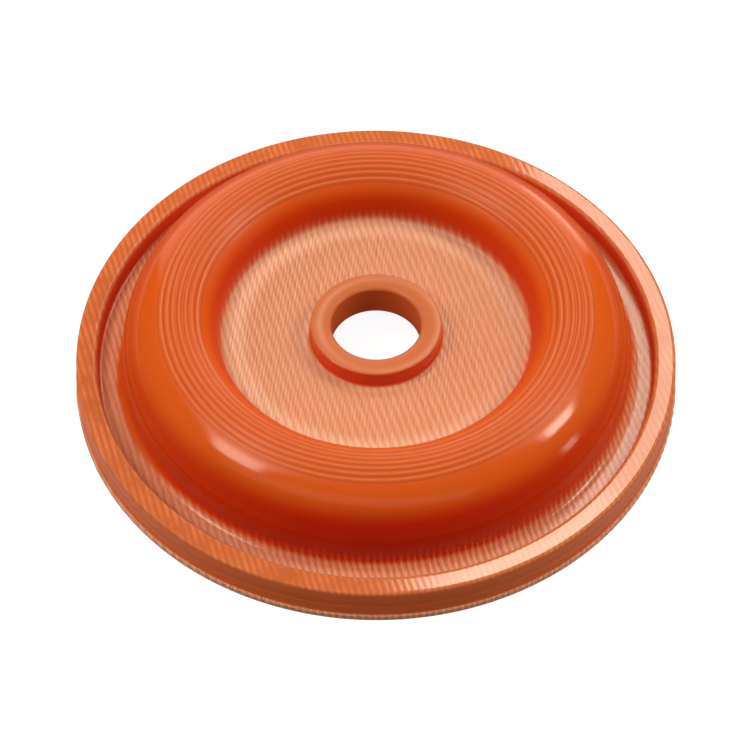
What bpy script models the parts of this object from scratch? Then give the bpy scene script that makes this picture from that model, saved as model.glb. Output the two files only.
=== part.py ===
# Exhaust valve diaphragm: a round moulded rubber diaphragm in one piece.
# The thick outer rim is clamped in the valve, the raised roll lets the middle travel,
# and the thin disc carries a boss and a bore for the valve stem.
# Frame: +Z is the axis, the rim's flat underside lies at z = 0. All sizes are in metres.

import bmesh
import bpy
from math import asin, cos, pi, sin, sqrt, tau

mm = 0.001

# Outer rim: a smooth bead on the die-cut edge of the fabric layer, which stands out as a lip
rim_radius = 40.9 * mm
rim_width = 2.85 * mm
rim_height = 5.3 * mm
rim_edge_round = 0.4 * mm
parting_groove_height = 0.4 * mm
parting_groove_depth = 0.15 * mm
lip_thickness = 0.9 * mm
lip_reach = 0.4 * mm
lip_edge_round = 0.15 * mm

# Flange between the rim and the roll
groove_width = 3.6 * mm
flange_thickness = 2.85 * mm
groove_corner_round = 0.35 * mm

# Disc, boss and bore
wall = 2.4 * mm
disc_height = 7.5 * mm
bore_radius = 6.1 * mm
boss_width = 2.8 * mm
boss_height = 2.5 * mm
boss_edge_round = 0.25 * mm
boss_foot_round = 0.5 * mm
bore_chamfer = 0.3 * mm

# Raised roll, from the disc over the crest to the flange
roll_rise = 6.25 * mm
inner_curve_width = 5.75 * mm
inner_foot_round = 1.2 * mm
outer_curve_width = 7.4 * mm
outer_straight = 1.9 * mm
outer_foot_round = 1.6 * mm
hollow_corner_round = 0.7 * mm

# Fine ribs round the crest
rib_count = 7
rib_pitch = 0.865 * mm
rib_width = 0.5 * mm
rib_height = 0.2 * mm
rib_band_shift = 0.6 * mm

# Fineness of the turned surface
turn_steps = 60
corner_steps = 2
foot_steps = 3
curve_steps = 5

silicone_orange = (0.62, 0.115, 0.025, 1.0)
silicone_roughness = 0.42

# Sizes that follow from the ones above
lip_radius = rim_radius + lip_reach
groove_outer_radius = rim_radius - rim_width
roll_outer_radius = groove_outer_radius - groove_width
crest_radius = roll_outer_radius - outer_curve_width
roll_inner_radius = crest_radius - inner_curve_width
boss_radius = bore_radius + boss_width
disc_underside = disc_height - wall
boss_top = disc_height + boss_height
crest_height = disc_height + roll_rise
inner_spring_height = disc_height + inner_foot_round
outer_spring_height = flange_thickness + outer_foot_round + outer_straight
rib_band_radius = crest_radius - rib_band_shift


def clear_scene():
    for item in list(bpy.data.objects):
        bpy.data.objects.remove(item, do_unlink=True)


def rounded_corner(before, corner, after, radius, steps):
    # Arc tangent to both legs of a square corner, no larger than either leg allows
    legs = [(p[0] - corner[0], p[1] - corner[1]) for p in (before, after)]
    lengths = [sqrt(x * x + z * z) for x, z in legs]
    radius = min(radius, 0.49 * min(lengths))
    along = [(x / length, z / length) for (x, z), length in zip(legs, lengths)]
    centre_r = corner[0] + radius * (along[0][0] + along[1][0])
    centre_z = corner[1] + radius * (along[0][1] + along[1][1])
    points = []
    for step in range(steps + 1):
        turn = step / steps * pi / 2
        across, up = -radius * cos(turn), -radius * sin(turn)
        points.append((centre_r + across * along[1][0] + up * along[0][0],
                       centre_z + across * along[1][1] + up * along[0][1]))
    return points


def quarter_curve(width, drop, start, end, steps, side, peak):
    # Quarter ellipse that falls from the crest to an upright wall; side is -1 inwards, +1 outwards
    points = []
    for step in range(steps + 1):
        turn = start + (end - start) * step / steps
        points.append((crest_radius + side * width * sin(turn), peak - drop * (1 - cos(turn))))
    return points


def crown_height(radius):
    # Height of the smooth crest, without its ribs
    outwards = radius > crest_radius
    width = outer_curve_width if outwards else inner_curve_width
    drop = crest_height - (outer_spring_height if outwards else inner_spring_height)
    share = abs(radius - crest_radius) / width
    return crest_height - drop * (1 - sqrt(1 - share * share))


def rib_band():
    # Each rib is a foot, a flat-topped ridge and a foot on the crown
    points = []
    for index in range(rib_count):
        middle = rib_band_radius + (index - (rib_count - 1) / 2) * rib_pitch
        for offset, lift in ((-0.5, 0.0), (-0.15, 1.0), (0.15, 1.0), (0.5, 0.0)):
            radius = middle + offset * rib_width
            points.append((radius, crown_height(radius) + lift * rib_height))
    return points


def boss_outline():
    # From the bore's lower edge up its wall, over the boss and down to the disc
    foot = (boss_radius, disc_height)
    shoulder = (boss_radius, boss_top)
    points = [(bore_radius + bore_chamfer, disc_underside), (bore_radius, disc_underside + bore_chamfer),
              (bore_radius, boss_top - bore_chamfer), (bore_radius + bore_chamfer, boss_top)]
    points += rounded_corner((bore_radius, boss_top), shoulder, foot, boss_edge_round, corner_steps)
    points += rounded_corner(shoulder, foot, (roll_inner_radius, disc_height), boss_foot_round, corner_steps)
    return points


def roll_outline():
    # From the disc up the dish wall, over the ribbed crest and down to the flange
    ribs = rib_band()
    inner_turn = asin((crest_radius - ribs[0][0]) / inner_curve_width)
    outer_turn = asin((ribs[-1][0] - crest_radius) / outer_curve_width)
    inner_drop = crest_height - inner_spring_height
    outer_drop = crest_height - outer_spring_height
    dish_foot = (roll_inner_radius, disc_height)
    points = rounded_corner((boss_radius, disc_height), dish_foot, (roll_inner_radius, crest_height),
                            inner_foot_round, foot_steps)
    points += quarter_curve(inner_curve_width, inner_drop, pi / 2, inner_turn, curve_steps,
                            -1, crest_height)[1:-1]
    points += ribs
    points += quarter_curve(outer_curve_width, outer_drop, outer_turn, pi / 2, curve_steps,
                            1, crest_height)[1:]
    points += rounded_corner((roll_outer_radius, crest_height), (roll_outer_radius, flange_thickness),
                             (rim_radius, flange_thickness), outer_foot_round, foot_steps)
    return points


def rim_outline():
    # From the groove floor over the rim and down its side to the flat underside
    groove_corner = (groove_outer_radius, flange_thickness)
    inner_edge = (groove_outer_radius, rim_height)
    outer_edge = (rim_radius, rim_height)
    lip_root = (rim_radius, lip_thickness)
    lip_edge = (lip_radius, lip_thickness)
    lower_edge = (lip_radius, 0.0)
    parting_height = rim_height / 2
    points = rounded_corner((roll_outer_radius, flange_thickness), groove_corner, inner_edge,
                            groove_corner_round, corner_steps)
    points += rounded_corner(groove_corner, inner_edge, outer_edge, rim_edge_round, corner_steps)
    points += rounded_corner(inner_edge, outer_edge, lip_root, rim_edge_round, corner_steps)
    for lift, depth in ((0.5, 0.0), (0.0, 1.0), (-0.5, 0.0)):
        points.append((rim_radius - depth * parting_groove_depth,
                       parting_height + lift * parting_groove_height))
    points.append(lip_root)
    points += rounded_corner(lip_root, lip_edge, lower_edge, lip_edge_round, corner_steps)
    points += rounded_corner(lip_edge, lower_edge, (roll_outer_radius, 0.0), lip_edge_round, corner_steps)
    return points


def hollow_outline():
    # From the flat underside up into the roll's hollow, one wall below its top, to the disc's underside
    outer_wall = roll_outer_radius - wall
    inner_wall = roll_inner_radius + wall
    peak = crest_height - wall
    outer_drop = crest_height - outer_spring_height - wall
    inner_drop = crest_height - inner_spring_height - wall
    points = rounded_corner((rim_radius, 0.0), (outer_wall, 0.0), (outer_wall, outer_spring_height),
                            hollow_corner_round, corner_steps)
    points += quarter_curve(outer_curve_width - wall, outer_drop, pi / 2, 0.0, curve_steps, 1, peak)
    points += quarter_curve(inner_curve_width - wall, inner_drop, 0.0, pi / 2, curve_steps, -1, peak)[1:]
    points += rounded_corner((inner_wall, inner_spring_height), (inner_wall, disc_underside),
                             (bore_radius, disc_underside), hollow_corner_round, corner_steps)
    return points


def turned_body(outline, name):
    # The closed section is spun once round the axis
    surface = bmesh.new()
    corners = [surface.verts.new((radius, 0.0, height)) for radius, height in outline]
    sides = [surface.edges.new((corners[i - 1], corners[i])) for i in range(len(corners))]
    bmesh.ops.spin(surface, geom=corners + sides, axis=(0, 0, 1), cent=(0, 0, 0),
                   steps=turn_steps, angle=tau, use_merge=True)
    bmesh.ops.recalc_face_normals(surface, faces=surface.faces)
    mesh = bpy.data.meshes.new(name)
    surface.to_mesh(mesh)
    surface.free()
    body = bpy.data.objects.new(name, mesh)
    bpy.context.collection.objects.link(body)
    mesh.shade_smooth()
    mesh.set_sharp_from_angle(angle=pi / 5)
    return body


def silicone_rubber():
    material = bpy.data.materials.new("orange_silicone_rubber")
    material.use_nodes = True
    surface = material.node_tree.nodes["Principled BSDF"]
    surface.inputs["Base Color"].default_value = silicone_orange
    surface.inputs["Roughness"].default_value = silicone_roughness
    surface.inputs["Metallic"].default_value = 0.0
    material.diffuse_color = silicone_orange
    return material


def build_diaphragm():
    outline = boss_outline() + roll_outline() + rim_outline() + hollow_outline()
    body = turned_body(outline, "diaphragm")
    body.data.materials.append(silicone_rubber())
    return body


clear_scene()
build_diaphragm()
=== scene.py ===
from math import cos, pi, radians, sin, tau

import bpy
import numpy as np
from mathutils import Matrix, Vector


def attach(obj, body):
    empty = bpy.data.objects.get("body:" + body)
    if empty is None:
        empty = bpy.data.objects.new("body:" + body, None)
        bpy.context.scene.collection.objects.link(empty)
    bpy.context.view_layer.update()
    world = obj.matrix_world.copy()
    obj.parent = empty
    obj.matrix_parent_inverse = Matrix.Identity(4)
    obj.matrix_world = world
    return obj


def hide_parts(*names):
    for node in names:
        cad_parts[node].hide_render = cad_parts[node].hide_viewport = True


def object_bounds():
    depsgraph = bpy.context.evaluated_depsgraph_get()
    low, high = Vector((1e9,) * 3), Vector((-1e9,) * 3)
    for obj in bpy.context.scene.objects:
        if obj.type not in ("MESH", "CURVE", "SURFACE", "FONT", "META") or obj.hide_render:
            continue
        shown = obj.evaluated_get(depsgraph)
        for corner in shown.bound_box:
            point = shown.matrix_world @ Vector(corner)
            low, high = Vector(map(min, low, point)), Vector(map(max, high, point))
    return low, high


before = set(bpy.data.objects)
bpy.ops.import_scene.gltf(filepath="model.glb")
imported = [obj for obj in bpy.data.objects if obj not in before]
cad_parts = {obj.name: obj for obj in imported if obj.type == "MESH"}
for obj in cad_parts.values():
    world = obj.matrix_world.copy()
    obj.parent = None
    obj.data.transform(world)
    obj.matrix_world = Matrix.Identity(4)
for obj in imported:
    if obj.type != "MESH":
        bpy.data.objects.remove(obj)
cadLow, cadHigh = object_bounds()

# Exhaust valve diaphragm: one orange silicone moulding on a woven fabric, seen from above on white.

mm = 0.001


# Tools

def hexColour(code):
    # sRGB hex to linear, with full alpha
    parts = np.array([int(code[i:i + 2], 16) for i in (0, 2, 4)]) / 255
    linear = np.where(parts <= 0.04045, parts / 12.92, ((parts + 0.055) / 1.055) ** 2.4)
    return (*linear, 1.0)


def addNode(tree, kind, settings=None, inputs=None, output=0):
    # A node with its settings, and values or links for its inputs; gives back one of its outputs
    node = tree.nodes.new("ShaderNode" + kind)
    for name, value in (settings or {}).items():
        setattr(node, name, value)
    for socket, value in (inputs or {}).items():
        if isinstance(value, bpy.types.NodeSocket):
            tree.links.new(value, node.inputs[socket])
        else:
            node.inputs[socket].default_value = value
    return node.outputs[output] if len(node.outputs) else None


def emptyTree(owner):
    owner.use_nodes = True
    owner.node_tree.nodes.clear()
    return owner.node_tree


def smoothStep(low, high, value):
    share = np.clip((value - low) / (high - low), 0, 1)
    return share * share * (3 - 2 * share)


# The moulding. Lengths in millimetres, heights above the flat underside.

moulding = {
    "lipRadius": cadHigh.x / mm,
    "lipThickness": 0.9,
    "lipEdgeRound": 0.15,
    "rimRadius": 40.9,
    "rimWidth": 2.85,
    "rimHeight": 5.3,
    "rimEdgeRound": 0.4,
    "rimInnerRound": 0.5,
    "partingHeight": 2.65,
    "partingWidth": 0.4,
    "partingDepth": 0.06,
    "grooveWidth": 3.6,
    "grooveCornerRound": 0.35,
    "flangeThickness": 2.85,
    "wall": 2.4,
    "discHeight": 7.5,
    "boreRadius": 6.1,
    "boreChamfer": 0.3,
    "bossWidth": 2.8,
    "bossTop": 10.0,
    "bossEdgeRound": 0.25,
    "bossFootRound": 0.5,
    "ribHeight": 0.14,
    "ribWidth": 0.5,
    "ribPitch": 0.865,
    "ribCount": 7,
    "ribBandShift": 0.6,
    "ribRows": 6,
    "crestTop": cadHigh.z / mm,
    "innerCurveWidth": 5.75,
    "innerFootRound": 1.2,
    "outerCurveWidth": 7.4,
    "outerSpring": 6.35,
    "outerFootRound": 1.6,
    "hollowCornerRound": 0.7,
    "edgeStep": 0.1,              # distances between rows, from the sharpest edges to the hidden flats
    "cornerStep": 0.15,
    "rimStep": 0.2,
    "fineStep": 0.27,             # across the cloth's print
    "plainStep": 0.3,
    "coarseStep": 1.0,
    "undersideStep": 4.0,
    "pointsAround": (240, 480, 960),
    "finerFrom": 13.0,            # radius on the disc from which a row needs more points for the print
    "guard": 0.07,
}

# The cloth as it prints through the rubber
cloth = {
    "twillPitch": 0.96,           # mm between the slanting ridges on the disc
    "groovePitch": 0.85,          # and outside the roll, where the mould squeezes the cloth
    "squeezedWidth": 10.0,        # mm from the rim's side inwards that are squeezed so
    "twillAngle": -73.0,          # degrees from X, the way the ridges run
    "yarnPitch": 0.48,            # mm between neighbouring yarns
    "yarnAngle": 84.0,
    "twillDepth": 0.032,          # mm from ridge to valley
    "grooveDepth": 0.015,         # the same in the groove, where the mould presses the cloth flat
    "cutDepth": 0.08,             # the same on the lip's frayed edge
    "wander": 0.08,               # mm that a ridge strays from its line
    "wanderWaves": ((0.9, 2.3), (2.1, -1.7)),     # radians per mm along and across the ridge
    "discClimb": (7.35, 9.6),     # heights where the print fades out on the dish wall
    "wallClimb": (2.85, 5.6),     # and on the roll's outer wall
    "rimZone": 1.5,               # mm from the rim's inner wall that the roll's foot never reaches
    "rimGap": (0.5, 0.05),        # mm from that wall, where the print fades out on the groove's floor
    "gapShade": 0.3,              # painted shade: share of the wall's shaded tone in that gap
    # Painted light: share of the top's lit tone on the dish wall, and outside, less on the front as painted
    # shade
    "flankPaintedLight": (0.35, 0.75),
    # Stretched places, pale for the pulled threads and for a painted sheen and glints: radius, reach, share,
    # degrees from X where it is least, and by what share less
    "foldsAndSheen": ((9.6, 1.0, 0.6, 0, 0), (19.4, 2.4, 1.0, -15, 0.6), (36.5, 1.3, 0.8, -165, 0.8)),
    # Degrees from X where the print climbs the dish wall least, and by how many mm less
    "discEase": (-15.0, 1.3),
    "discTip": 0.25,              # mm that a ridge reaches further up than a valley on the dish wall
    "wallTip": 0.5,               # and the same on the roll's outer wall, as a share of the climb
    "acrossClimb": 2.9,           # mm less of climb where the ridges run along the wall and not up it
    "acrossPower": 1.5,
    "leastClimb": 0.12,
}


def straight(start, end, step):
    # Evenly spaced points from start to end; where they lie far apart, one more close to each end keeps the
    # flat's shading flat
    start, end = np.array(start, float), np.array(end, float)
    length = np.linalg.norm(end - start)
    share = np.linspace(0, 1, max(1, int(np.ceil(length / step))) + 1)
    guard = moulding["guard"] / length
    if guard < share[1] / 4:
        share = np.sort(np.append(share, [guard, 1 - guard]))
    return start + (end - start) * share[:, None]


def roundCorner(before, at, after, radius, step):
    # Quarter circle: centre - radius * (cos t * onward leg + sin t * incoming leg), tangent to both legs
    before, at, after = (np.array(p, float) for p in (before, at, after))
    incoming = (before - at) / np.linalg.norm(before - at)
    onward = (after - at) / np.linalg.norm(after - at)
    turn = np.linspace(0, pi / 2, max(3, int(np.ceil(radius * pi / 2 / step))) + 1)[:, None]
    return at + radius * (incoming + onward - np.cos(turn) * onward - np.sin(turn) * incoming)


def quarterCurve(crestRadius, peak, width, drop, start, end, step):
    # Quarter ellipse: radius = crest + width * sin t, height = peak - drop * (1 - cos t); a width below 0
    # runs inwards
    count = max(4, int(np.ceil(abs(end - start) * max(abs(width), drop) / step)))
    turn = np.linspace(start, end, count + 1)
    return np.stack([crestRadius + width * np.sin(turn), peak - drop * (1 - np.cos(turn))], 1)


def sectionRows(size):
    # The closed section as stretches of points, each with its number of points round the axis
    few, some, many = size["pointsAround"]
    edge, corner, rimStep = size["edgeStep"], size["cornerStep"], size["rimStep"]
    fine, plain = size["fineStep"], size["plainStep"]
    coarse, underside = size["coarseStep"], size["undersideStep"]
    rimIn = size["rimRadius"] - size["rimWidth"]
    rollOut = rimIn - size["grooveWidth"]
    crestRadius = rollOut - size["outerCurveWidth"]
    rollIn = crestRadius - size["innerCurveWidth"]
    bossRadius = size["boreRadius"] + size["bossWidth"]
    crest = size["crestTop"] - size["ribHeight"]
    floor, disc, bossTop = size["flangeThickness"], size["discHeight"], size["bossTop"]
    innerSpring = disc + size["innerFootRound"]
    outerSpring = size["outerSpring"]
    innerDrop, outerDrop = crest - innerSpring, crest - outerSpring
    under = disc - size["wall"]
    bore, chamfer = size["boreRadius"], size["boreChamfer"]
    parting, halfGroove = size["partingHeight"], size["partingWidth"] / 2
    rim, rimTop = size["rimRadius"], size["rimHeight"]
    lip, lipTop = size["lipRadius"], size["lipThickness"]

    bandHalf = size["ribCount"] * size["ribPitch"] / 2
    bandMiddle = crestRadius - size["ribBandShift"]
    bandRadius = np.linspace(bandMiddle - bandHalf, bandMiddle + bandHalf,
                             size["ribCount"] * size["ribRows"] + 1)
    outwards = bandRadius > crestRadius
    share = (bandRadius - crestRadius) / np.where(
        outwards, size["outerCurveWidth"], size["innerCurveWidth"])
    crown = crest - np.where(outwards, outerDrop, innerDrop) * (1 - np.sqrt(1 - share ** 2))
    offset = (bandRadius - bandMiddle + bandHalf) % size["ribPitch"] - size["ribPitch"] / 2
    ribLift = np.clip(np.cos(pi * offset / size["ribWidth"]), 0, 1) * (np.abs(offset) < size["ribWidth"] / 2)
    ribs = np.stack([bandRadius, crown + size["ribHeight"] * ribLift], 1)
    innerTurn = np.arcsin((crestRadius - bandRadius[0]) / size["innerCurveWidth"])
    outerTurn = np.arcsin((bandRadius[-1] - crestRadius) / size["outerCurveWidth"])

    discFoot, wallFoot = (rollIn, disc), (rollOut, floor)
    grooveFoot, rimInTop, rimOutTop = (rimIn, floor), (rimIn, rimTop), (rim, rimTop)
    lipRoot, lipCorner, lipBase = (rim, lipTop), (lip, lipTop), (lip, 0)
    hollowOut, hollowIn = rollOut - size["wall"], rollIn + size["wall"]
    innerFoot, outerFoot = size["innerFootRound"], size["outerFootRound"]
    bossRound, bossFoot = size["bossEdgeRound"], size["bossFootRound"]
    grooveRound, rimInRound = size["grooveCornerRound"], size["rimInnerRound"]
    rimOutRound = size["rimEdgeRound"]
    lipRound, hollowRound, wall = size["lipEdgeRound"], size["hollowCornerRound"], size["wall"]
    inWidth, outWidth, finer = size["innerCurveWidth"], size["outerCurveWidth"], size["finerFrom"]
    return [
        # Bore, boss and disc
        (straight((bore + chamfer, under), (bore, under + chamfer), corner), few),
        (straight((bore, under + chamfer), (bore, bossTop - chamfer), coarse), few),
        (straight((bore, bossTop - chamfer), (bore + chamfer, bossTop), corner), few),
        (roundCorner((bore, bossTop), (bossRadius, bossTop), (bossRadius, disc), bossRound, edge), few),
        (roundCorner((bossRadius, bossTop), (bossRadius, disc), discFoot, bossFoot, corner), few),
        (straight((bossRadius + bossFoot, disc), (finer, disc), fine), few),
        (straight((finer, disc), (rollIn - innerFoot, disc), fine), some),
        (roundCorner((bossRadius, disc), discFoot, (rollIn, crest), innerFoot, fine), some),
        # Over the roll and down to the groove's floor
        (quarterCurve(crestRadius, crest, -inWidth, innerDrop, pi / 2, innerTurn, coarse), few),
        (ribs, few),
        (quarterCurve(crestRadius, crest, outWidth, outerDrop, outerTurn, pi / 2, coarse), few),
        (straight((rollOut, outerSpring), (rollOut, floor + outerFoot), fine), many),
        (roundCorner((rollOut, crest), wallFoot, (rim, floor), outerFoot, fine), many),
        (straight((rollOut + outerFoot, floor), (rimIn - grooveRound, floor), fine), many),
        (roundCorner(wallFoot, grooveFoot, rimInTop, grooveRound, rimStep), many),
        # Rim, parting line and lip
        (straight((rimIn, floor + grooveRound), (rimIn, rimTop - rimInRound), coarse), some),
        (roundCorner(grooveFoot, rimInTop, rimOutTop, rimInRound, rimStep), some),
        (straight((rimIn + rimInRound, rimTop), (rim - rimOutRound, rimTop), coarse), some),
        (roundCorner(rimInTop, rimOutTop, lipRoot, rimOutRound, rimStep), some),
        (np.array([(rim - d * size["partingDepth"], parting + h * halfGroove)
                   for h, d in ((1, 0), (0.4, 0.8), (0, 1), (-0.4, 0.8), (-1, 0))]), some),
        (straight((rim, parting - halfGroove), lipRoot, coarse), some),
        (roundCorner(lipRoot, lipCorner, lipBase, lipRound, edge), many),
        (straight((lip, lipTop - lipRound), (lip, lipRound), plain), many),
        (roundCorner(lipCorner, lipBase, (0, 0), lipRound, edge), some),
        # Underside, one wall below the roll and the disc
        (straight((lip - lipRound, 0), (hollowOut + hollowRound, 0), underside), few),
        (roundCorner((rim, 0), (hollowOut, 0), (hollowOut, crest), hollowRound, plain), few),
        (quarterCurve(crestRadius, crest - wall, outWidth - wall, outerDrop - wall, pi / 2, 0, coarse), few),
        (quarterCurve(crestRadius, crest - wall, wall - inWidth, innerDrop - wall, 0, pi / 2, coarse), few),
        (roundCorner((hollowIn, crest), (hollowIn, under), (0, under), hollowRound, plain), few),
        (straight((hollowIn - hollowRound, under), (bore + chamfer, under), underside), few),
    ]


def joinStretches(stretches):
    # One list of rows; a point that ends one stretch and starts the next is kept once, with the larger count
    points, counts = [], []
    for stretch, around in stretches:
        for point in stretch:
            if points and np.linalg.norm(point - points[-1]) < 1e-6:
                counts[-1] = max(counts[-1], around)
            else:
                points.append(point)
                counts.append(around)
    if np.linalg.norm(points[0] - points[-1]) < 1e-6:
        points.pop()
        counts.pop()
    return np.array(points), np.array(counts)


def stripFaces(first, count, nextFirst, nextCount):
    # Triangles between two rings of points; where one ring is finer, its points fan out from the coarser one
    if count == nextCount:
        here = np.arange(count)
        ahead = (here + 1) % count
        lower = np.stack([first + here, nextFirst + here, first + ahead], 1)
        upper = np.stack([first + ahead, nextFirst + here, nextFirst + ahead], 1)
        return np.concatenate([lower, upper])
    flip = count > nextCount
    if flip:
        first, count, nextFirst, nextCount = nextFirst, nextCount, first, count
    ratio = nextCount // count
    middle = ratio // 2
    fine = np.arange(nextCount)
    coarse = (fine // ratio + (fine % ratio >= middle)) % count
    fans = np.stack([first + coarse, nextFirst + fine, nextFirst + (fine + 1) % nextCount], 1)
    here = np.arange(count)
    gaps = np.stack([first + here, nextFirst + here * ratio + middle, first + (here + 1) % count], 1)
    faces = np.concatenate([fans, gaps])
    return faces[:, ::-1] if flip else faces


def twillRidges(x, y):
    # 0.5 + 0.5 * cos(tau * way across the ridges / pitch); slow sines along the ridge make each one wander
    slope = radians(cloth["twillAngle"])
    across = -x * sin(slope) + y * cos(slope)
    along = x * cos(slope) + y * sin(slope)
    waves = [np.sin(along * first + across * second) for first, second in cloth["wanderWaves"]]
    stray = cloth["wander"] * sum(waves) / len(waves)
    outside = np.hypot(x, y) > moulding["rimRadius"] - cloth["squeezedWidth"]
    pitch = np.where(outside, cloth["groovePitch"], cloth["twillPitch"])
    return 0.5 + 0.5 * np.cos(tau * (across + stray) / pitch)


# Where one finish of the surface passes into the next, in millimetres or as the upward part of the normal
finish = {
    "touch": 0.05,                # slack for points that lie on a limit
    "slack": 0.1,
    "sliver": 0.02,
    "discFrom": (-0.4, -0.1),     # from the end of the boss's foot, where the print starts
    "dishReach": (1.0, 3.0),      # outwards from the disc's edge: the print's last row, and the dish's tone
    "gapDepth": 0.3,              # below the rim's top, where its inner wall is shaded
    "cutWidth": 0.2,              # outwards from the rim's side, where the lip's cloth lies bare
    "sideBelow": 0.2,             # below the rim's top, where its side starts
    "facingUp": (0.46, 0.82),     # from the wall's painted shade to the top's painted light
    "rimUp": (0.05, 0.5),         # from the rim's wall to its top
    "flatUp": (0.97, 1.0),        # and from its rounded edge to its flat
    "bossUp": (0.2, 0.7),
    "bossEdgeUp": 0.99,
    "mattFrom": 2.0,              # outwards from the end of the boss's foot
    "mattRise": (0.1, 0.9),       # above the disc
    "bandBlend": 0.3,             # across the edges of the ribbed band
    "glossHeight": (6.5, 9.0),    # above the underside, on the roll's outer side
}


def surfaceMasks(radius, angle, height, normalUp, ridge):
    # Shares from 0 to 1 for every point, each a smooth step of radius, height or the normal's upward part.
    # cloth: how far it prints through; groove: the same outside the roll; fold: how hard it is stretched, its
    # pale
    # tone also a painted sheen; lift: how high its thread stands; cut: how bare it lies on the lip's edge.
    # facing:
    # the share of the top's lit tone over the wall's painted shade, from how far the surface looks up, less
    # on the
    # front and in the gap by the rim; side: rim's side and bore; rimTop, bossTop: the faces on top of them;
    # clamped:
    # the flat of the rim's top; ribs: a rib's top with painted light and its foot with painted shade;
    # polished: the roll's outer side and the boss's edges; matt: the dish wall and the inner shoulder.
    size = moulding
    touch, slack, blend = finish["touch"], finish["slack"], finish["bandBlend"]
    rimIn = size["rimRadius"] - size["rimWidth"]
    rollOut = rimIn - size["grooveWidth"]
    rollIn = rollOut - size["outerCurveWidth"] - size["innerCurveWidth"]
    bossEnd = size["boreRadius"] + size["bossWidth"] + size["bossFootRound"]
    bandHalf = size["ribCount"] * size["ribPitch"] / 2
    bandEnd = rollOut - size["outerCurveWidth"] - size["ribBandShift"] + bandHalf
    bandStart = bandEnd - 2 * bandHalf
    offset = (radius - bandEnd) % size["ribPitch"] - size["ribPitch"] / 2
    onBand = (radius < bandEnd) * (radius > bandStart) * (np.abs(offset) < size["ribPitch"] / 2)
    onRib = np.clip(np.cos(pi * offset / size["ribWidth"]), 0, 1)
    above = height > size["flangeThickness"] - slack

    # Ridges that run up a wall show as tips, those that run along it as a lower line
    tip = ridge - 0.5
    upright = np.abs(np.cos(angle - radians(cloth["twillAngle"])))
    thread = upright * ridge ** 2 + (1 - upright) * (0.5 + 0.5 * ridge)
    foot, climb = cloth["discClimb"]
    least, less = cloth["discEase"]
    climb = climb - foot - less * np.clip(np.cos(angle - radians(least)), 0, 1) ** 2
    disc = (smoothStep(bossEnd + finish["discFrom"][0], bossEnd + finish["discFrom"][1], radius)
            * (radius < rollIn + finish["dishReach"][0]) * (height > size["discHeight"] - slack)
            * (1 - smoothStep(0, 1, (height - foot - cloth["discTip"] * tip) / climb)))
    foot, climb = cloth["wallClimb"]
    climb = np.maximum(climb - foot - cloth["acrossClimb"] * (1 - upright ** cloth["acrossPower"]),
                       cloth["leastClimb"])
    inner = 1 - smoothStep(0, 1, (height - foot) / climb - cloth["wallTip"] * tip)
    far, near = cloth["rimGap"]
    gap = smoothStep(rimIn - far, rimIn - near, radius) * (radius < rimIn + touch)
    groove = ((radius > rollOut - touch) * (radius < rimIn + touch) * above
              * np.where(radius > rimIn - cloth["rimZone"], 1 - gap, inner))
    # Folds: stretched cloth, its pale tone also a painted sheen and glints, less towards one azimuth
    foldsAndSheen = np.zeros_like(radius)
    for place, reach, share, least, less in cloth["foldsAndSheen"]:
        share = share * (1 - less * np.clip(np.cos(angle - radians(least)), 0, 1) ** 2)
        foldsAndSheen = np.maximum(foldsAndSheen, share * (1 - smoothStep(0, reach, np.abs(radius - place))))

    # Painted light and shade: the top's lit tone where the surface looks up, over the wall's deeper red; a
    # share of it on the dish wall and outside, less on the front, and less in the gap by the rim
    facing = smoothStep(*finish["facingUp"], normalUp)
    dishTone, outerTone = cloth["flankPaintedLight"]
    unshaded = 1 - np.clip(-np.sin(angle), 0, 1)
    facing = facing + (1 - facing) * np.where(
        radius < rollIn + finish["dishReach"][1], dishTone, outerTone * unshaded)
    facing = facing * (1 - cloth["gapShade"] * gap * (height < size["rimHeight"] - finish["gapDepth"]))
    onRim = (radius > rimIn - slack) * (height > size["rimHeight"] - size["rimInnerRound"])
    onBoss = (radius < bossEnd) * (height > size["bossTop"] - size["boreChamfer"] - finish["sliver"])
    rimSide = (radius > size["rimRadius"] - slack) * (height < size["rimHeight"] - finish["sideBelow"])
    return {
        "cloth": disc + groove,
        "groove": groove,
        "foldAndSheen": foldsAndSheen * (disc + groove),
        "lift": np.where(groove > 0, thread, ridge),
        "cut": smoothStep(0, finish["cutWidth"], radius - size["rimRadius"]) * (height > touch),
        "facing": facing,
        "side": rimSide + (radius < size["boreRadius"] + slack),
        "rimTop": onRim * smoothStep(*finish["rimUp"], normalUp),
        "clamped": onRim * smoothStep(*finish["flatUp"], normalUp),
        "bossTop": onBoss * smoothStep(*finish["bossUp"], normalUp),
        # a rib's top, painted lit, and its foot, painted as shade
        "ribTopPaintedLight": onBand * onRib * above,
        "ribFootPaintedShade": onBand * (1 - onRib) * above,
        "matt": (smoothStep(*finish["mattRise"], height - size["discHeight"])
                 * (radius > bossEnd + finish["mattFrom"])
                 * (1 - smoothStep(bandStart - blend, bandStart + blend, radius))),
        "polished": (smoothStep(bandEnd, bandEnd + blend, radius) * smoothStep(*finish["glossHeight"], height)
                     + onBoss * (normalUp < finish["bossEdgeUp"])),
    }


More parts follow.
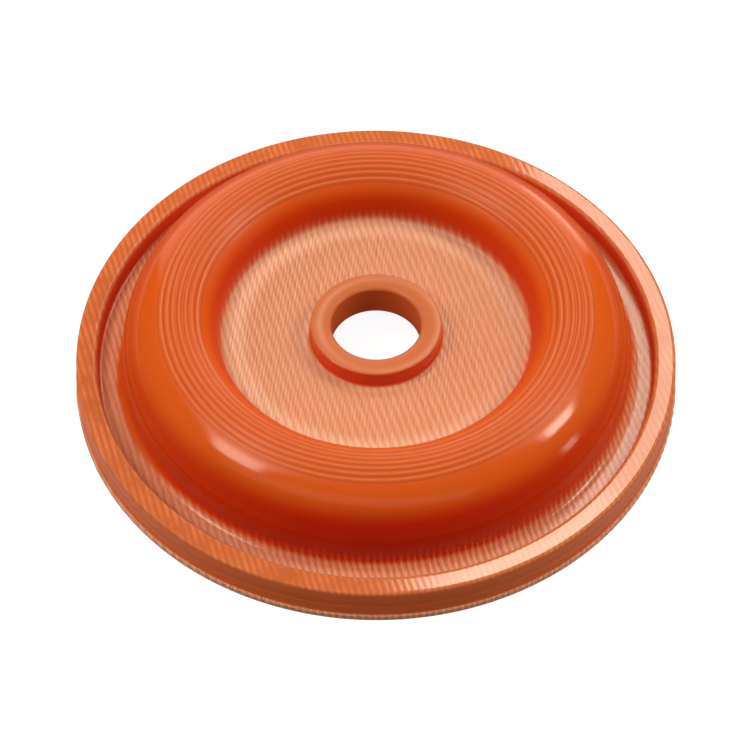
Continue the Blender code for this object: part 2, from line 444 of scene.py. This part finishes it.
def turnedSurface(name):
    # Every row of the section carried round the axis, with the cloth's ridges pressed in along the normal
    points, counts = joinStretches(sectionRows(moulding))
    firsts = np.concatenate([[0], np.cumsum(counts)[:-1]])
    angle = np.concatenate([np.arange(n) / n * tau for n in counts])
    row = np.repeat(np.arange(len(points)), counts)
    slope = np.roll(points, -1, 0) - np.roll(points, 1, 0)
    slope /= np.linalg.norm(slope, axis=1)[:, None]
    radius, height = points[row, 0], points[row, 1]
    normalOut, normalUp = -slope[row, 1], slope[row, 0]
    ridge = twillRidges(radius * np.cos(angle), radius * np.sin(angle))
    masks = surfaceMasks(radius, angle, height, normalUp, ridge)
    depth = np.where(masks["groove"] > 0, cloth["grooveDepth"], cloth["twillDepth"])
    sunk = (depth * masks["cloth"] + cloth["cutDepth"] * masks["cut"]) * (ridge - 1)
    radius = radius + sunk * normalOut
    height = np.maximum(height + sunk * normalUp, 0)
    place = np.stack([radius * np.cos(angle), radius * np.sin(angle), height], 1) * mm
    faces = np.concatenate([
        stripFaces(firsts[i - 1], counts[i - 1], firsts[i], counts[i]) for i in range(len(points))])
    mesh = bpy.data.meshes.new(name)
    mesh.from_pydata(place.astype(np.float32), [], faces.tolist())
    for label, values in masks.items():
        values = np.clip(values, 0, 1).astype(np.float32)
        mesh.attributes.new(label, "FLOAT", "POINT").data.foreach_set("value", values)
    mesh.shade_smooth()
    piece = bpy.data.objects.new(name, mesh)
    bpy.context.scene.collection.objects.link(piece)
    print("diaphragm:", len(points), "rows,", len(faces), "triangles")
    return piece


# Silicone rubber, compression moulded: satin gloss, saturated orange, paler where the cloth prints through;
# deeper red where it looks away from the top, as painted shade

rubber = {
    # The top's tone is the lit copy of the wall's deeper red: painted light and shade, blended by how far a
    # surface looks up
    "top": "E15B14",
    "wall": "D22400",
    "side": "E6682C",
    # painted light and shade on the ribs: their tops lighter, their feet darker
    "ribTopPaintedLight": "E16828",
    "ribFootPaintedShade": "CB520E",
    "rimTop": "D06A38",
    "rimStreak": "FC9460",
    "bossTop": "D67344",
    "clothRidge": "ECA07C",
    # the cloth's ridges on a wall, in the painted shade of the wall's tone
    "clothValley": "D48660",
    "clothWallShade": "D8683C",
    "grooveRidge": "F09E76",
    "grooveValley": "D0623A",
    # pale tone of stretched cloth, also a painted sheen and glints on the folds
    "stretchedAndSheen": "F8C0A0",
    "cutRidge": "F0B494",
    "cutValley": "DC9068",
    "wallRoughness": 0.4,
    "topRoughness": 0.32,
    "edgeRoughness": 0.55,
    "rimRoughness": 0.06,
    "polishedRoughness": 0.13,
    "clothRoughness": 0.27,
    "grooveRoughness": 0.2,
    "ior": 1.41,
    "mattGloss": 0.15,
    "yarnBump": 0.02 * mm,
    "rimPrint": 0.035,
    "hairRelief": 1.5,            # the hairs' relief against the yarns'
    "groovePressed": 0.9,         # share of the yarns' relief that is pressed flat in the groove
    "foldSheenOnRidges": 0.6,          # share of a fold's pale tone, stretched cloth and painted sheen, that only the ridges take
    "streakPatches": (4.0, -1.4),     # times the mottle, plus: how much of the rim's top is streaked
    "rimPrintTone": 0.6,
    "mottleSize": 5 * mm,
    "mottleDepth": 0.12,
    "mottleTint": "BCA095",
    "hairAcross": 0.22 * mm,
    "hairAlong": 2.2 * mm,
    "hairDepth": 0.9,
}


maskNames = ("cloth", "groove", "foldAndSheen", "lift", "cut", "facing", "side", "rimTop", "clamped", "bossTop",
             "ribTopPaintedLight", "ribFootPaintedShade", "matt", "polished")


def siliconeOnCloth():
    material = bpy.data.materials.new("compressionMouldedSilicone")
    tree = emptyTree(material)
    place = addNode(tree, "TexCoord", output="Object")
    mask = {name: addNode(tree, "Attribute", {"attribute_name": name}, output="Fac") for name in maskNames}
    tone = {name: hexColour(code) for name, code in rubber.items() if isinstance(code, str)}
    times, timesPlus = {"operation": "MULTIPLY"}, {"operation": "MULTIPLY_ADD"}
    kept, cosine = {"operation": "MULTIPLY_ADD", "use_clamp": True}, {"operation": "COSINE"}
    mixed = {"data_type": "RGBA"}

    # Yarns: a cosine across their direction; hairs: noise drawn out along it
    turned = addNode(tree, "Mapping", {"vector_type": "TEXTURE"},
                     {"Vector": place, "Rotation": (0, 0, radians(cloth["yarnAngle"]))})
    acrossYarn = addNode(tree, "SeparateXYZ", {}, {"Vector": turned}, "Y")
    phase = addNode(tree, "Math", times, {0: acrossYarn, 1: tau / (cloth["yarnPitch"] * mm)})
    yarn = addNode(tree, "Math", cosine, {0: phase})
    drawnOut = addNode(tree, "Mapping", {}, {"Vector": turned, "Scale": (
        1 / rubber["hairAlong"], 1 / rubber["hairAcross"], 1 / rubber["hairAcross"])})
    hair = addNode(tree, "TexNoise", {}, {"Vector": drawnOut, "Scale": 1.0, "Detail": 2.0}, "Fac")
    centred = addNode(tree, "Math", {"operation": "SUBTRACT"}, {0: hair, 1: 0.5})
    thread = addNode(tree, "Math", kept, {0: centred, 1: rubber["hairDepth"], 2: mask["lift"]})

    # The rim's top shows the twill as a faint cosine relief, wavering with the same hairs
    slanted = addNode(tree, "Mapping", {"vector_type": "TEXTURE"},
                      {"Vector": place, "Rotation": (0, 0, radians(cloth["twillAngle"]))})
    acrossTwill = addNode(tree, "SeparateXYZ", {}, {"Vector": slanted}, "Y")
    phase = addNode(tree, "Math", timesPlus, {0: acrossTwill, 1: tau / (cloth["groovePitch"] * mm), 2: hair})
    twill = addNode(tree, "Math", cosine, {0: phase})
    bare = addNode(tree, "Math", {"operation": "MAXIMUM"}, {0: mask["cloth"], 1: mask["cut"]})
    pressed = addNode(tree, "Math", timesPlus, {0: mask["groove"], 1: -rubber["groovePressed"], 2: bare})
    weave = addNode(tree, "Math", timesPlus, {0: hair, 1: rubber["hairRelief"], 2: yarn})
    relief = addNode(tree, "Math", times, {0: weave, 1: pressed})
    onRim = addNode(tree, "Math", times, {0: twill, 1: mask["clamped"]})
    relief = addNode(tree, "Math", timesPlus, {0: onRim, 1: rubber["rimPrint"], 2: relief})
    bump = addNode(tree, "Bump", {}, {"Strength": 1.0, "Distance": rubber["yarnBump"], "Height": relief})

    # Streaks of the twill on the rim's top, in patches of the mottle
    mottle = addNode(tree, "TexNoise", {}, {
        "Vector": place, "Scale": 1 / rubber["mottleSize"], "Detail": 4.0, "Roughness": 0.65}, "Fac")
    steep, less = rubber["streakPatches"]
    patches = addNode(tree, "Math", kept, {0: mottle, 1: steep, 2: less})
    stripes = addNode(tree, "Math", timesPlus, {0: twill, 1: 0.5, 2: 0.5})
    streaks = addNode(tree, "Math", times, {0: stripes, 1: patches})
    printed = addNode(tree, "Math", times, {0: mask["rimTop"], 1: rubber["rimPrintTone"]})
    streaks = addNode(tree, "Math", times, {0: streaks, 1: printed})
    mottled = addNode(tree, "Math", times, {0: mottle, 1: rubber["mottleDepth"]})

    # Plain rubber, one tone laid over the other: the top's lit tone over the wall's painted shade, and
    # painted light and shade on the ribs
    plain = tone["wall"]
    for name, share, way in (
            ("top", mask["facing"], "MIX"), ("side", mask["side"], "MIX"), ("rimTop", mask["rimTop"], "MIX"),
            ("rimStreak", streaks, "MIX"), ("bossTop", mask["bossTop"], "MIX"),
            ("mottleTint", mottled, "MULTIPLY"), ("ribFootPaintedShade", mask["ribFootPaintedShade"], "MIX"),
            ("ribTopPaintedLight", mask["ribTopPaintedLight"], "MIX")):
        plain = addNode(tree, "Mix", {"data_type": "RGBA", "blend_type": way},
                        {"Factor": share, "A": plain, "B": tone[name]}, "Result")

    # Cloth through the rubber: from valley to ridge, redder on a wall as the wall's painted shade, paler
    # where it is stretched, partly a painted sheen
    valley = addNode(tree, "Mix", mixed, {
        "Factor": mask["groove"], "A": tone["clothValley"], "B": tone["grooveValley"]}, "Result")
    ridge = addNode(tree, "Mix", mixed, {
        "Factor": mask["groove"], "A": tone["clothRidge"], "B": tone["grooveRidge"]}, "Result")
    woven = addNode(tree, "Mix", mixed, {"Factor": thread, "A": valley, "B": ridge}, "Result")
    onWall = addNode(tree, "Mix", mixed, {
        "Factor": thread, "A": tone["wall"], "B": tone["clothWallShade"]}, "Result")
    woven = addNode(tree, "Mix", mixed, {"Factor": mask["facing"], "A": onWall, "B": woven}, "Result")
    share = rubber["foldSheenOnRidges"]
    foldedAndSheen = addNode(tree, "Math", timesPlus, {0: thread, 1: share, 2: 1 - share})
    foldedAndSheen = addNode(tree, "Math", times, {0: mask["foldAndSheen"], 1: foldedAndSheen})
    woven = addNode(tree, "Mix", mixed, {"Factor": foldedAndSheen, "A": woven, "B": tone["stretchedAndSheen"]}, "Result")
    colour = addNode(tree, "Mix", mixed, {"Factor": mask["cloth"], "A": plain, "B": woven}, "Result")
    frayed = addNode(tree, "Mix", mixed, {
        "Factor": thread, "A": tone["cutValley"], "B": tone["cutRidge"]}, "Result")
    colour = addNode(tree, "Mix", mixed, {"Factor": mask["cut"], "A": colour, "B": frayed}, "Result")

    rough = rubber["wallRoughness"]
    for name, share in (
            ("topRoughness", mask["facing"]), ("edgeRoughness", mask["rimTop"]),
            ("rimRoughness", mask["clamped"]), ("polishedRoughness", mask["polished"]),
            ("clothRoughness", bare), ("grooveRoughness", mask["groove"])):
        rough = addNode(tree, "Mix", {"data_type": "FLOAT"}, {"Factor": share, "A": rough, "B": rubber[name]})
    gloss = addNode(tree, "Math", timesPlus, {0: mask["matt"], 1: rubber["mattGloss"] - 0.5, 2: 0.5})
    surface = addNode(tree, "BsdfPrincipled", {}, {
        "Base Color": colour, "Roughness": rough, "IOR": rubber["ior"], "Specular IOR Level": gloss,
        "Normal": bump})
    addNode(tree, "OutputMaterial", {}, {"Surface": surface})
    print("silicone:", len(maskNames), "masks,", len(tree.nodes), "nodes")
    return material


diaphragmPiece = turnedSurface("diaphragm_moulding")
diaphragmPiece.data.materials.append(siliconeOnCloth())
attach(diaphragmPiece, "root")
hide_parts("diaphragm")


# White ground under soft lamps: the key behind, one above on each side, faint ones low behind, in front
# and at the sides

studio = {
    "groundSize": 6.0,
    "groundDrop": 0.02 * mm,
    "groundGlow": 0.93,
    "groundMirrored": (0.05, 0.5, 0.7),       # painted glow seen in gloss: painted shade in front, painted light close beside and behind
    "mirroredBehind": (0.02, 0.25),           # metres behind the axis, from front to back
    "mirroredBeside": (0.01, 0.036),          # metres to either side of it
    "mirroredRing": (0.044, 0.048),           # metres away from it, where the bright ground beside it ends
    "groundSeen": "9A9A9A",
    "groundPaint": "B0B0B0",
    "domeAxis": (0, -0.08, 0.997),
    "domeFoot": 0.5,
    "domeFull": 0.85,
    "dome": 0.46,
    "domeMirrored": 0.08,
    "horizon": 0.05,
    "lampDistance": 0.9,
    "lampTint": "FFF8E4",
}


def whiteGround():
    # White to the camera, keeping the shadow. Gloss and glass see a painted glow on it: dim in front as
    # painted shade, bright behind the object and close beside it as painted light. Plain paint for other
    # light
    half = studio["groundSize"] / 2
    corners = [(-half, -half, 0), (half, -half, 0), (half, half, 0), (-half, half, 0)]
    mesh = bpy.data.meshes.new("ground")
    mesh.from_pydata(corners, [], [(0, 1, 2, 3)])
    ground = bpy.data.objects.new("ground", mesh)
    ground.location.z = -studio["groundDrop"]
    bpy.context.scene.collection.objects.link(ground)
    material = bpy.data.materials.new("paintedGround")
    tree = emptyTree(material)
    seen, glossy, through = (addNode(tree, "LightPath", output=name) for name in (
        "Is Camera Ray", "Is Glossy Ray", "Is Transmission Ray"))
    gloss = addNode(tree, "Math", {"operation": "MAXIMUM"}, {0: glossy, 1: through})
    shaded = addNode(tree, "BsdfDiffuse", {}, {"Color": hexColour(studio["groundSeen"])})
    glow = addNode(tree, "Emission", {}, {"Strength": studio["groundGlow"]})
    white = addNode(tree, "AddShader", {}, {0: shaded, 1: glow})
    paint = addNode(tree, "BsdfDiffuse", {}, {"Color": hexColour(studio["groundPaint"])})

    place = addNode(tree, "TexCoord", output="Object")
    aside = addNode(tree, "SeparateXYZ", {}, {"Vector": place}, "X")
    aside = addNode(tree, "Math", {"operation": "ABSOLUTE"}, {0: aside})
    backwards = addNode(tree, "SeparateXYZ", {}, {"Vector": place}, "Y")
    away = addNode(tree, "VectorMath", {"operation": "LENGTH"}, {0: place}, "Value")
    # painted glow seen in gloss: painted shade in front, painted light beside and behind
    front, beside, back = studio["groundMirrored"]
    low, high = studio["mirroredBehind"]
    behind = addNode(tree, "MapRange", {}, {
        "Value": backwards, "From Min": low, "From Max": high, "To Min": front, "To Max": back})
    low, high = studio["mirroredBeside"]
    outwards = addNode(tree, "MapRange", {}, {
        "Value": aside, "From Min": low, "From Max": high, "To Max": beside})
    low, high = studio["mirroredRing"]
    flank = addNode(tree, "MapRange", {}, {
        "Value": away, "From Min": low, "From Max": high, "To Min": outwards, "To Max": 0.0})
    mirrored = addNode(tree, "Emission", {}, {
        "Strength": addNode(tree, "Math", {"operation": "MAXIMUM"}, {0: behind, 1: flank})})
    unseen = addNode(tree, "MixShader", {}, {"Fac": gloss, 1: paint, 2: mirrored})
    both = addNode(tree, "MixShader", {}, {"Fac": seen, 1: unseen, 2: white})
    addNode(tree, "OutputMaterial", {}, {"Surface": both})
    mesh.materials.append(material)


def whiteSurroundings():
    # White to the camera; for the light a pale dome that fades to almost nothing towards the horizon
    world = bpy.data.worlds.new("studio")
    bpy.context.scene.world = world
    tree = emptyTree(world)
    seen, glossy = (addNode(tree, "LightPath", output=name) for name in ("Is Camera Ray", "Is Glossy Ray"))
    top = addNode(tree, "MapRange", {}, {
        "Value": glossy, "To Min": studio["dome"], "To Max": studio["domeMirrored"]})
    direction = addNode(tree, "TexCoord", output="Generated")
    up = addNode(tree, "VectorMath", {"operation": "DOT_PRODUCT"},
                 {0: direction, 1: studio["domeAxis"]}, "Value")
    dome = addNode(tree, "MapRange", {"interpolation_type": "SMOOTHSTEP"}, {
        "Value": up, "From Min": studio["domeFoot"], "From Max": studio["domeFull"],
        "To Min": studio["horizon"], "To Max": top})
    strength = addNode(tree, "Math", {"operation": "MAXIMUM"}, {0: seen, 1: dome})
    sky = addNode(tree, "Background", {}, {"Color": (1, 1, 1, 1), "Strength": strength})
    addNode(tree, "OutputWorld", {}, {"Surface": sky})


def softbox(name, toward, along, size, radiance, mirrored=True):
    # A rectangle of even brightness facing the object, its second side along a direction; one that isn't
    # mirrored is so broad in a real studio that the rubber shows no edge of it. Power: radiance * pi * area
    back = Vector(toward).normalized()
    up = (Vector(along) - back * back.dot(Vector(along))).normalized()
    lamp = bpy.data.lights.new(name, "AREA")
    lamp.shape = "RECTANGLE"
    lamp.size, lamp.size_y = size
    lamp.energy = radiance * pi * size[0] * size[1]
    lamp.color = hexColour(studio["lampTint"])[:3]
    box = bpy.data.objects.new(name, lamp)
    box.matrix_world = (Matrix.Translation(back * studio["lampDistance"])
                        @ Matrix((up.cross(back), up, back)).transposed().to_4x4())
    box.visible_glossy = mirrored
    bpy.context.scene.collection.objects.link(box)
    return box


# Name, way towards it, way along its second side, sides in metres, radiance, and whether gloss mirrors it
lamps = [
    ("key", (0.136, 0.604, 0.785), (-0.227, -0.752, 0.615), (0.15, 0.29), 9.5),
    ("keyCore", (0.065, 0.478, 0.744), (0.094, 0.039, -0.021), (0.05, 0.11), 6.0),
    ("left", (-0.548, -0.098, 0.83), (-0.24, -0.33, -0.19), (0.24, 0.34), 9.0),
    ("right", (0.70, 0.09, 0.71), (0.24, -0.19, -0.20), (0.17, 0.22), 16.5),
    ("lowRight", (0.98, -0.17, 0.13), (0, 0, 1), (0.10, 0.18), 5.0),
    ("backWall", (-0.05, 0.97, 0.22), (0, 0, 1), (1.2, 0.42), 1.1),
    ("backRight", (0.44, 0.885, 0.05), (0, 0, 1), (0.25, 0.3), 2.0),
    ("front", (-0.15, -0.6, 0.78), (0, 0, 1), (1.6, 0.25), 0.5),
    ("sideRight", (0.90, 0.20, 0.36), (0, 0, 1), (0.8, 0.6), 1.5, False),
    ("sideLeft", (-0.90, 0.20, 0.36), (0, 0, 1), (0.8, 0.6), 1.9, False),
]


def photographView():
    # Pinhole fitted to the photograph: 50.7 degrees above the rim's plane, 355 mm away
    view = {"elevation": radians(50.7), "distance": 355.3 * mm, "target": Vector((0, 0, 5.3 * mm)),
            "lens": 124.8, "shift": (-1.05 / 750, -29.8 / 750), "roll": radians(0.3)}
    camera = bpy.data.objects.new("camera", bpy.data.cameras.new("camera"))
    back = Vector((0, -cos(view["elevation"]), sin(view["elevation"])))
    camera.location = view["target"] + back * view["distance"]
    upright = back.to_track_quat("Z", "Y").to_matrix()
    camera.rotation_euler = (upright @ Matrix.Rotation(view["roll"], 3, "Z")).to_euler()
    camera.data.lens = view["lens"]
    camera.data.sensor_width = 36
    camera.data.shift_x, camera.data.shift_y = view["shift"]
    camera.data.clip_start, camera.data.clip_end = 0.01, 20
    bpy.context.scene.collection.objects.link(camera)
    bpy.context.scene.camera = camera


whiteGround()
whiteSurroundings()
for lampSettings in lamps:
    softbox(*lampSettings)
photographView()
bpy.context.scene.view_settings.view_transform = "Standard"
print("ground, lamps and camera set")
